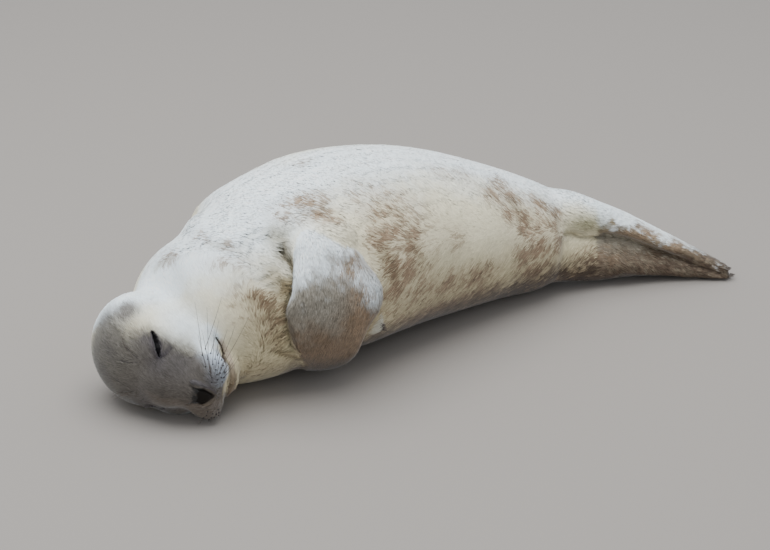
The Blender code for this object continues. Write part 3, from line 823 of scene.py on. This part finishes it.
def skin_material():
    made, tree, shader = principled("coat_skin", 0.85, Sheen_Weight=0.03, Specular_IOR_Level=0.15)
    where = coat_colour(tree, shader, 0.90, 1.06, 260.0)
    fine = node(tree, "ShaderNodeTexNoise", Scale=700.0, Detail=2.0)
    bump = node(tree, "ShaderNodeBump", Strength=0.35, Distance=0.0008)
    tree.links.new(where.outputs["Object"], fine.inputs["Vector"])
    tree.links.new(fine.outputs["Fac"], bump.inputs["Height"])
    tree.links.new(bump.outputs["Normal"], shader.inputs["Normal"])
    return made


def tuft_material():
    made, tree, shader = principled("coat_tufts", 0.80, Sheen_Weight=0.30, Sheen_Roughness=0.45)
    coat_colour(tree, shader, 0.95, 1.05, 900.0)
    return made


def horn_material():
    made, tree, shader = principled("claw_horn", 0.35, Coat_Weight=0.3)
    grain = node(tree, "ShaderNodeTexNoise", Scale=420.0, Detail=4.0)
    ramp = node(tree, "ShaderNodeValToRGB")
    ramp.color_ramp.elements[0].color = (*srgb(30, 25, 22), 1.0)
    ramp.color_ramp.elements[1].color = (*srgb(86, 72, 60), 1.0)
    tree.links.new(grain.outputs["Fac"], ramp.inputs["Fac"])
    tree.links.new(ramp.outputs["Color"], shader.inputs["Base Color"])
    return made


# ---------------------------------------------------------------- the coat
SEEN_WAY = np.array((-0.423, -0.81, 0.41))   # out to the side that the photo shows


def unwrap(skin):
    """An unwrap of the skin's own shape, as the map that finishes are baked on."""
    skin.data.uv_layers.new(name="OFBake")
    bpy.ops.object.select_all(action="DESELECT")
    bpy.context.view_layer.objects.active = skin
    skin.select_set(True)
    bpy.ops.object.mode_set(mode="EDIT")
    bpy.ops.mesh.select_all(action="SELECT")
    bpy.ops.uv.smart_project(angle_limit=math.radians(70), island_margin=0.002)
    bpy.ops.object.mode_set(mode="OBJECT")
    uv = np.empty(len(skin.data.loops) * 2, dtype=np.float32)
    skin.data.uv_layers["OFBake"].data.foreach_get("uv", uv)
    return uv.reshape(-1, 3, 2)


def tuft_density(seal):
    """How close the tufts stand: closest on the face, thinner on the far side, few underneath."""
    n = seal.normals()
    q = to_head(seal.co)
    part = seal.part
    seen = fade(n @ SEEN_WAY, -0.35, 0.15)
    dense = 0.42 + 0.58 * seen
    dense = dense * (1 + 0.4 * head_weight(part) + 3.2 * face_weight(q, part))
    limbs = sum(part[name] for name in LIMB_LINES)
    dense = dense * (1 + 1.1 * np.minimum(1.0, limbs))
    under = fade(-n[:, 2], 0.75, 0.98) * fade(-seal.co[:, 2], -0.03, -0.006)
    dense = dense * (1 - 0.9 * under)
    bare = bare_skin(seal.co, seal)
    return dense * (1 - bare)


def bare_skin(p, seal):
    """Where no tuft grows: the nose, the rims of the lids and the mouth."""
    q = to_head(p) * 1000
    s = mirrored(q)
    nose = fade(blob(s, (134, 4, -20), (12, 14, 18)), 0.28, 0.45)
    lids = 1 - fade(seal.near[:, 0] / slit_width(to_head(p)), 3.6, 5.2)
    mouth = 1 - fade(seal.near[:, 2], 1.2, 2.4)
    return np.clip(nose + lids + mouth, 0, 1)


class Tufts:
    """Roots, directions, sizes and colours of the tufts."""


def grow(seal, uv):
    rng = np.random.default_rng(SEED)
    a, b, c = corners(seal.co, seal.tris)
    area = np.linalg.norm(np.cross(b - a, c - a), axis=1) / 2
    weight = area * seal.density[seal.tris].mean(1)
    total = np.cumsum(weight)
    pick = np.searchsorted(total, (np.arange(TUFTS) + rng.random(TUFTS)) / TUFTS * total[-1])
    pick = np.minimum(pick, len(seal.tris) - 1)
    r1, r2 = np.sqrt(rng.random(TUFTS)), rng.random(TUFTS)
    bary = np.column_stack((1 - r1, r1 * (1 - r2), r1 * r2))
    tri = seal.tris[pick]

    def at(values):
        if values.ndim == 1:
            return (values[tri] * bary).sum(1)
        return (values[tri] * bary[:, :, None]).sum(1)

    made = Tufts()
    made.root = at(seal.co)
    made.normal = unit(at(seal.soft_normals))
    made.flow = unit(at(seal.flow))
    made.depth = at(seal.depth)
    made.uv = (uv[pick] * bary[:, :, None]).sum(1)
    weights = {name: at(seal.part[name]) for name in FLESH}
    made.near = at(seal.near)
    made.colour = markings(made.root, weights, made.near, rng.random(TUFTS))
    made.part = weights
    made.density = at(seal.density)
    made.fold = at(seal.fold)
    return made, rng


def shape_tufts(tufts, rng):
    """Each tuft is a thin closed spike of three sides, bent down to lie along the body."""
    n = TUFTS
    root, normal, depth = tufts.root, tufts.normal, tufts.depth
    side = np.cross(normal, tufts.flow)
    sway = 0.55 * (noise(root, 0.016, 21) - 0.5) + 0.35 * (noise(root, 0.006, 22) - 0.5)
    sway = sway + 0.10 * rng.standard_normal(n)
    flow = unit(tufts.flow + side * sway[:, None])
    side = unit(np.cross(normal, flow))
    reach = depth * (0.90 + 0.12 * noise(root, 0.012, 23) + 0.05 * rng.standard_normal(n))
    reach = np.clip(reach, 0.5 * depth, 1.12 * depth) * (1 - 0.35 * tufts.fold)
    length = (5.9 * depth - 0.0030) * (0.85 + 0.3 * rng.random(n)) * (1 - 0.20 * tufts.fold)
    length = np.maximum(length, 0.0040)
    length = length * (0.40 + 0.60 * fade(tufts.near[:, (0, 2)].min(1), 3.0, 10.0))
    shaggy = 1.3 * blob(root, drawn((-68, -88, 164)), (0.020, 0.03, 0.028))
    shaggy = shaggy + 1.3 * blob(root, drawn((-42, -50, 81)), (0.020, 0.02, 0.018))
    length, reach = length * (1 + 0.5 * shaggy), reach * (1 + 0.25 * shaggy)
    reach = np.minimum(reach, 0.45 * length)
    width = np.clip(0.172 * length, 0.0009, 0.0029) * (0.8 + 0.4 * rng.random(n))
    width = width * np.clip(1.15 / np.sqrt(tufts.density), 0.85, 1.7)
    rise1 = np.clip(0.80 * reach / (0.45 * length), 0, 0.95)
    rise2 = np.clip(0.20 * reach / (0.55 * length), 0, 0.9)
    run1, run2 = np.sqrt(1 - rise1**2), np.sqrt(1 - rise2**2)
    base = root - normal * 0.0008
    first, last = (length * 0.45)[:, None], (length * 0.55)[:, None]
    middle = base + (flow * run1[:, None] + normal * rise1[:, None]) * first
    tip = middle + (flow * run2[:, None] + normal * rise2[:, None]) * last
    w = width[:, None]
    high = normal * 0.30 - flow * 0.15
    co = np.stack((base - side * 0.42 * w, base + side * 0.42 * w, base + high * 0.7 * w,
                   middle - side * 0.5 * w, middle + side * 0.5 * w, middle + high * w, tip), axis=1)
    co[:, :, 2] = np.maximum(co[:, :, 2], 0.0002)
    return co


# One tuft: seven corners in two rings of three and a tip, as triangles, map and shading.
SPIKE = np.array([(0, 1, 4), (0, 4, 3), (1, 2, 5), (1, 5, 4), (2, 0, 3), (2, 3, 5),
                  (3, 4, 6), (4, 5, 6), (5, 3, 6), (0, 2, 1)])
SPIKE_UV = np.array([(0.0, 0.0), (1.0, 0.0), (0.5, 0.1), (0.0, 0.5), (1.0, 0.5), (0.5, 0.6),
                     (0.5, 1.0)]) - 0.5
SHADE = np.array((0.93, 0.93, 0.95, 0.98, 0.98, 1.0, 1.03))


def build_coat(seal, uv, material):
    tufts, rng = grow(seal, uv)
    co = shape_tufts(tufts, rng)
    dark = 1 - fade(tufts.colour.mean(1), 0.12, 0.55)
    own = 1.0 + (0.06 + 0.16 * dark) * rng.standard_normal(TUFTS)
    # Tufts in the body's folds are painted darker: painted shade in the creases.
    own = own * (1 - 0.55 * tufts.fold)
    own = np.maximum(own, 0.2)[:, None] ** np.array((1.0, 1.05, 1.15))
    colours = np.clip(tufts.colour[:, None, :] * own[:, None, :] * SHADE[None, :, None], 0, 0.93)
    order = coat_order(tufts)
    count = math.ceil(TUFTS / TUFTS_PER_PIECE)
    pieces = []
    for k, chosen in enumerate(np.array_split(order, count)):
        m = len(chosen)
        faces = (SPIKE[None] + (np.arange(m) * 7)[:, None, None]).reshape(-1, 3)
        mesh = mesh_from("coat_%d" % (k + 1), co[chosen].reshape(-1, 3), faces)
        paint(mesh, colours[chosen].reshape(-1, 3))
        patch = tufts.uv[chosen][:, None, :] + SPIKE_UV[None] * BAKE_PATCH
        layer = mesh.uv_layers.new(name="OFBake")
        corner_uv = patch.reshape(-1, 2)[faces.ravel()]
        layer.data.foreach_set("uv", corner_uv.astype(np.float32).ravel())
        lean = own_normals(mesh, tufts.normal[chosen])
        mesh.normals_split_custom_set_from_vertices(lean.tolist())
        mesh.materials.append(material)
        pieces.append(add_object("coat_%d" % (k + 1), mesh))
    return pieces


def own_normals(mesh, normal):
    """The tufts' own normals, leaned towards the skin's, as soft fur takes the light."""
    own = np.empty(len(mesh.vertices) * 3, dtype=np.float32)
    mesh.vertices.foreach_get("normal", own)
    own = own.reshape(-1, 7, 3)
    return unit(own * 0.18 + normal[:, None, :] * 0.82).reshape(-1, 3)


def coat_order(tufts):
    """From head to tail, limbs last, so that each piece of the coat is one stretch."""
    limb = sum(tufts.part[name] for name in LIMB_LINES)
    return np.lexsort((tufts.root[:, 1], np.round(tufts.root[:, 0], 3), limb > 0.5))


# ---------------------------------------------------------------- whiskers
# Roots of the hairs, in millimetres in the head's frame, on the left side.
FOLLICLES = [(94, 51, -35), (103, 49, -38), (116, 47, -37), (123, 45, -38), (129, 41, -39),
             (133, 36, -36), (136, 30, -37), (101, 48, -26), (112, 47, -28), (122, 45, -30),
             (129, 40, -31), (133, 35, -31), (136, 28, -31), (119, 42, -21), (127, 38, -23),
             (132, 31, -24), (133, 24, -24), (108, 46, -46), (118, 44, -46), (126, 41, -44),
             (132, 35, -43), (135, 29, -41), (137, 23, -39)]
BROW_HAIRS = [(38, 32, 49), (42, 28, 49), (46, 33, 45), (50, 27, 44)]


def tube(form, points, radii, sides=6):
    """A thin closed round hair along points."""
    rings = []
    points = [Vector(p) for p in points]
    for i, (p, r) in enumerate(zip(points, radii)):
        way = (points[min(i + 1, len(points) - 1)] - points[max(i - 1, 0)]).normalized()
        across = way.orthogonal().normalized()
        up = way.cross(across)
        turns = [2 * math.pi * k / sides for k in range(sides)]
        rings.append([form.verts.new(p + (across * math.cos(t) + up * math.sin(t)) * r)
                      for t in turns])
    for low, high in zip(rings, rings[1:]):
        for k in range(sides):
            j = (k + 1) % sides
            form.faces.new((low[k], low[j], high[j], high[k]))
    form.faces.new(rings[0][::-1])
    form.faces.new(rings[-1])


def hair_points(tree, q, side, way, length, droop):
    """A hair from its root in the skin, bending over as it goes."""
    place = from_head(np.array((q[0], q[1] * side, q[2])) / 1000.0)
    root, normal = tree.find_nearest(Vector(place))[:2]
    way = Vector(from_head(way) - HEAD_ORIGIN).normalized()
    start = (normal * 0.55 + way).normalized()
    points = []
    for k in range(9):
        t = k / 8
        point = root - normal * 0.001 + start * length * t + droop * length * t * t
        point.z = max(point.z, 0.002)
        points.append(point)
    return points, normal


def build_whiskers(seal):
    rng = np.random.default_rng(SEED + 1)
    tree = seal.tree()
    form = bmesh.new()
    dots = bmesh.new()
    for side in (1, -1):
        for q in FOLLICLES:
            low = (-q[2] - 20) / 28.0
            if side < 0 and q[1] > 40:
                continue    # the right cheek lies on the floor
            way = np.array((-0.35 - 0.3 * rng.random(), side * 1.0, 0.1 - 1.1 * low))
            length = (0.026 + 0.046 * rng.random()) * (1.0 if q[0] < 128 else 0.55)
            length = length if side > 0 else 0.5 * length
            bend = Vector(HEAD @ np.array((-0.35, 0.10 * side, -0.25 + 0.2 * rng.random())))
            points, normal = hair_points(tree, q, side, way, length, bend * 0.5)
            tube(form, points, np.linspace(0.00045, 0.00014, 9))
            place = Matrix.Translation(points[0] + normal * 0.0034)
            bmesh.ops.create_icosphere(dots, subdivisions=2, radius=0.0010, matrix=place)
        for q in BROW_HAIRS:
            way = np.array((-0.9, 0.15 * side, 0.35))
            points = hair_points(tree, q, side, way, 0.026 + 0.008 * rng.random(),
                                 Vector(HEAD @ np.array((0.1, 0.25 * side, -0.2))))[0]
            tube(form, points, np.linspace(0.00034, 0.00010, 9))
    made = []
    for name, shape in (("whiskers", form), ("whisker_roots", dots)):
        mesh = bpy.data.meshes.new(name)
        shape.to_mesh(mesh)
        shape.free()
        mesh.shade_smooth()
        made.append(add_object(name, mesh))
    return made


# ---------------------------------------------------------------- build
seal = make_skin()
seal.density = tuft_density(seal)
skin = add_object("skin", mesh_from("skin", seal.co, seal.tris))
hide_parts(*FLESH)
# The skin is painted darker in the folds: painted shade in the creases.
paint(skin.data, markings(seal.co, seal.part, seal.near) * (1 - 0.55 * seal.fold[:, None]))
unwrapped = unwrap(skin)
skin.data.materials.append(skin_material())
coat = build_coat(seal, unwrapped, tuft_material())
whiskers, roots = build_whiskers(seal)

hair = principled("whisker", 0.35, Base_Color=(*srgb(74, 62, 54), 1.0))[0]
dot = principled("follicle", 0.6, Base_Color=(*srgb(30, 26, 28), 1.0))[0]
whiskers.data.materials.append(hair)
roots.data.materials.append(dot)
eye = principled("wet_eye", 0.45, Base_Color=(*srgb(10, 8, 10), 1.0), Specular_IOR_Level=0.08)[0]
horn = horn_material()

for name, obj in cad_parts.items():
    if name in EYES:
        obj.material_slots[0].material = eye
    elif "_claw_" in name:
        obj.material_slots[0].material = horn

for piece in [skin] + coat + [whiskers, roots]:
    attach(piece, "root")


# ---------------------------------------------------------------- stage, light and camera
def area_light(name, place, aim, size, power, colour):
    lamp = bpy.data.lights.new(name, "AREA")
    lamp.shape = "DISK"
    lamp.size = size
    lamp.energy = power
    lamp.color = colour
    made = bpy.data.objects.new(name, lamp)
    bpy.context.scene.collection.objects.link(made)
    made.location = place
    made.rotation_euler = (Vector(aim) - Vector(place)).to_track_quat("-Z", "Y").to_euler()


floor_mesh = bpy.data.meshes.new("floor")
floor_form = bmesh.new()
bmesh.ops.create_circle(floor_form, cap_ends=True, segments=96, radius=6.0)
floor_form.to_mesh(floor_mesh)
floor_form.free()
floor = add_object("floor", floor_mesh)
floor_mesh.materials.append(
    principled("pale_floor", 0.9, Base_Color=(0.275, 0.250, 0.228, 1.0))[0])

world = bpy.data.worlds.new("studio")
world.use_nodes = True
world.node_tree.nodes["Background"].inputs["Color"].default_value = (0.90, 0.95, 1.0, 1.0)
world.node_tree.nodes["Background"].inputs["Strength"].default_value = 1.05
bpy.context.scene.world = world
area_light("key", (-0.4, 0.15, 2.8), (0, 0, 0.1), 3.4, 119.0, (0.97, 0.99, 1.0))
area_light("fill", (-1.8, -2.4, 1.6), (0, 0, 0.1), 1.6, 6.0, (0.98, 0.98, 1.0))

PICTURE_WIDTH = 1.09375    # metres across the picture, at the seal
azimuth, elevation, distance = math.radians(28.0), math.radians(24.0), 4.2
away = Vector((math.sin(azimuth), math.cos(azimuth), 0.0))
look = away * math.cos(elevation) - Vector((0, 0, 1)) * math.sin(elevation)
target = Vector((0.0, 0.0, 0.13)) - Vector(MIDDLE)
lens = bpy.data.cameras.new("camera")
lens.sensor_width = 36.0
lens.lens = lens.sensor_width * distance / PICTURE_WIDTH
camera = bpy.data.objects.new("camera", lens)
bpy.context.scene.collection.objects.link(camera)
camera.location = target - look * distance
camera.rotation_euler = look.to_track_quat("-Z", "Y").to_euler()
bpy.context.scene.camera = camera
